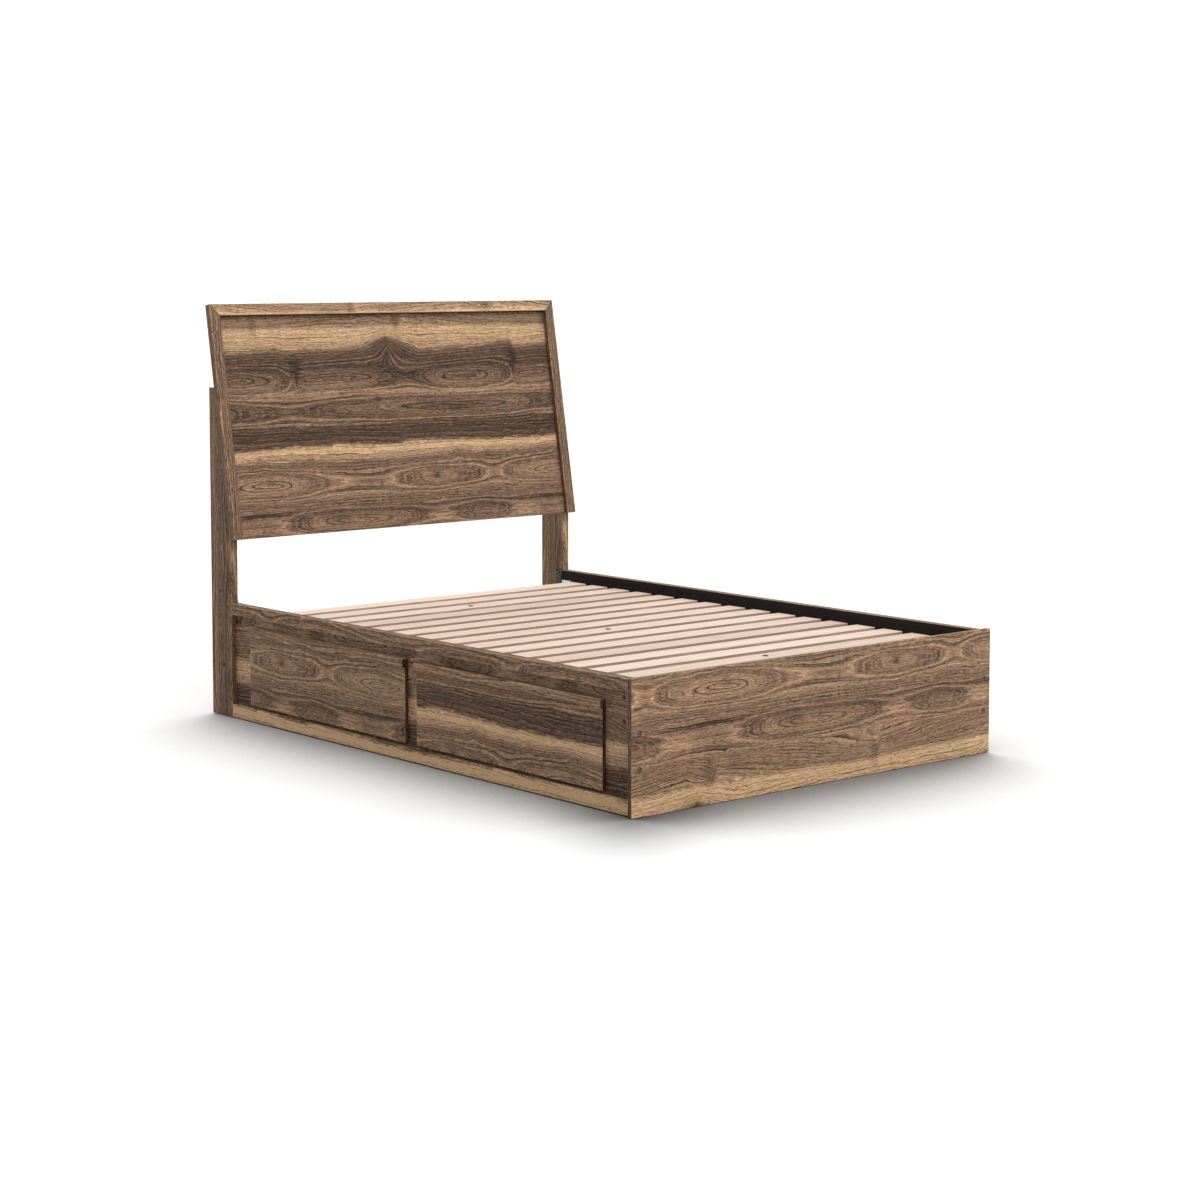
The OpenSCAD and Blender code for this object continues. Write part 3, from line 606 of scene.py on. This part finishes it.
dress("head_back_rail", frame_wood_x, 1.5 * MM)
for node in ("head_cleat_left", "head_cleat_right", "foot_cleats", "centre_legs"):
    dress(node, frame_wood_z, 1.5 * MM)
dress("centre_beam", frame_wood_y, 1.5 * MM)
dress("slats", slat_wood, 1.2 * MM)
for node in ("case_sides", "case_back"):
    dress(node, case_board, 0.4 * MM)
for drawer in ("foot", "head"):
    for part in ("front", "back", "side_near", "side_far"):
        dress(f"{drawer}_box_{part}", drawer_board, 0.6 * MM)
    dress(f"{drawer}_box_bottom", drawer_bottom)
    for part in ("inner", "middle", "outer"):
        dress(f"{drawer}_{part}_runners", runner_steel)
for node in ("ledger_uprights", "ledger_shelves", "ledger_screws", "bracket_screws"):
    dress(node, black_steel, 0.5 * MM)
dress("post_brackets", bracket_steel, 0.5 * MM)
for node in ("foot_bolts", "barrel_nuts"):
    dress(node, bolt_steel, 0.5 * MM)
dress("centre_bolts", dark_bolt, 0.5 * MM)
for node in ("post_screws", "panel_screws"):
    dress(node, black_screw, 0.5 * MM)
for node in ("post_glides", "foot_glides", "centre_feet", "case_glides"):
    dress(node, glide_plastic, 0.3 * MM)
dress("ledger_pads", pad_plastic, 0.5 * MM)
dress("slat_straps", tape)


def nail_heads(name, places, top, radius=2.2 * MM, rise=0.4 * MM, sides=16):
    """Low domed nail heads at X and Y places, standing on a level top."""
    heads = bmesh.new()
    for x, y in places:
        rings = []
        for share, height in ((1.0, 0.0), (0.8, 0.7), (0.45, 1.0)):
            ring = [heads.verts.new((x + radius * share * math.cos(math.tau * i / sides),
                                     y + radius * share * math.sin(math.tau * i / sides),
                                     top + rise * height)) for i in range(sides)]
            rings.append(ring)
        for low, high in zip(rings, rings[1:]):
            for i in range(sides):
                heads.faces.new((low[i], low[(i + 1) % sides], high[(i + 1) % sides], high[i]))
        heads.faces.new(rings[-1])
    mesh = bpy.data.meshes.new(name)
    heads.to_mesh(mesh)
    heads.free()
    mesh.materials.append(dark_bolt)
    piece = bpy.data.objects.new(name, mesh)
    bpy.context.scene.collection.objects.link(piece)
    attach(piece, "bed_frame")


# Nails hold the tapes' ends to the first slat, and the last slat but two near its right end
TAPE_X = 440 * MM
NEAR_RIGHT_END = 608 * MM
FIRST_SLAT = slats_low[1] + SLAT_WIDTH / 2
NAILED_SLAT = FIRST_SLAT + (SLATS - 3) * SLAT_PITCH
nail_heads("slat_nails",
           [(-TAPE_X, FIRST_SLAT), (TAPE_X, FIRST_SLAT), (NEAR_RIGHT_END, NAILED_SLAT)],
           slats_high[2])


# ---------------------------------------------------------------- floor, light and camera

def corner_shade(graph, position):
    """How light the floor is round the bed's near corner, where the soft shadows of two sides meet.

    It reaches furthest straight out from the corner.
    """
    corner = Vector(cad_bounds[0])
    outward = (ACROSS + ALONG).normalized()
    # Distances to either side count for more, so the shade is narrow
    beside = 2.1 * (ACROSS - ALONG).normalized()
    places = [graph.math("SUBTRACT", graph.dot(position, axis), corner.dot(axis))
              for axis in (outward, beside)]
    distance = graph.node("VectorMath", {"operation": "LENGTH"}, {0: graph.point(*places)}, out=1)
    return graph.curve(distance, [(0.0, 0.40), (0.16, 0.60), (0.33, 0.79), (0.5, 0.94), (0.66, 1.0)])


def floor(reach=60):
    """A plain pale floor, far wider than the bed. It darkens softly where the bed covers the sky."""
    mesh = bpy.data.meshes.new("floor")
    outline = bmesh.new()
    corners = [outline.verts.new((x * reach, y * reach, 0)) for x, y in ((-1, -1), (1, -1), (1, 1), (-1, 1))]
    outline.faces.new(corners)
    outline.to_mesh(mesh)
    outline.free()
    plane = bpy.data.objects.new("floor", mesh)
    bpy.context.scene.collection.objects.link(plane)
    material, graph, surface = new_material("pale_floor")
    position = graph.node("TexCoord", out=3)
    mottle = graph.noise(position, 3.0, 2.0)
    pale = graph.ramp(mottle, [(0.3, srgb(250, 250, 250)), (0.7, srgb(253, 253, 253))])
    # Occlusion is measured about a tilted direction, so it is strongest before the drawer side
    # and the foot
    facing = graph.point(0.50, 0.75, 1.0)
    open_sky = graph.node("AmbientOcclusion", {"samples": 16}, {"Distance": 0.8, "Normal": facing}, out=1)
    shade = graph.ramp(open_sky, [(0.20, srgb(104, 101, 99)), (0.92, (1, 1, 1, 1))], "EASE")
    colour = graph.mix(1.0, pale, shade, "MULTIPLY")
    colour = graph.mix(1.0, colour, corner_shade(graph, position), "MULTIPLY")
    finish_surface(graph, surface, colour, graph.rescale(mottle, 0.0, 1.0, 0.85, 0.95), mottle, 0.01 * MM,
                   Specular_IOR_Level=0.0)
    mesh.materials.append(material)
    return plane


def only_on(lamp, name, pieces):
    """Lets a lamp light these pieces only."""
    lit = bpy.data.collections.new(name)
    for piece in pieces:
        lit.objects.link(piece)
    lamp.light_linking.receiver_collection = lit


def sun(name, direction, strength, angle):
    """A soft distant light that shines towards a direction."""
    lamp = bpy.data.lights.new(name, "SUN")
    lamp.energy = strength
    lamp.angle = math.radians(angle)
    holder = bpy.data.objects.new(name, lamp)
    holder.rotation_euler = Vector(direction).to_track_quat("-Z", "Y").to_euler()
    bpy.context.scene.collection.objects.link(holder)
    return holder


def dome():
    """An even white sky."""
    world = bpy.data.worlds.new("studio")
    world.use_nodes = True
    background = world.node_tree.nodes["Background"]
    background.inputs["Color"].default_value = (1, 1, 1, 1)
    background.inputs["Strength"].default_value = 1.2
    bpy.context.scene.world = world


def camera():
    """A long-lens camera beyond the near corner of the drawer side and the foot, aimed a little down."""
    data = bpy.data.cameras.new("camera")
    data.lens = 75.7
    data.sensor_width = 36.0
    data.shift_y = -0.10
    data.clip_end = 200.0
    holder = bpy.data.objects.new("camera", data)
    holder.location = (-5.1545, -6.1328, 1.4989)
    holder.rotation_euler = (math.radians(90 - 4.903), 0, math.radians(-40.434))
    bpy.context.scene.collection.objects.link(holder)
    bpy.context.scene.camera = holder


ground = floor()
dome()
key = sun("key", (-0.20, 0.58, -0.80), 3.8, 25)
only_on(key, "lit_by_key", [piece for piece in bpy.data.objects if piece.type == "MESH" and piece != ground])
camera()
bpy.context.scene.view_settings.view_transform = "Standard"
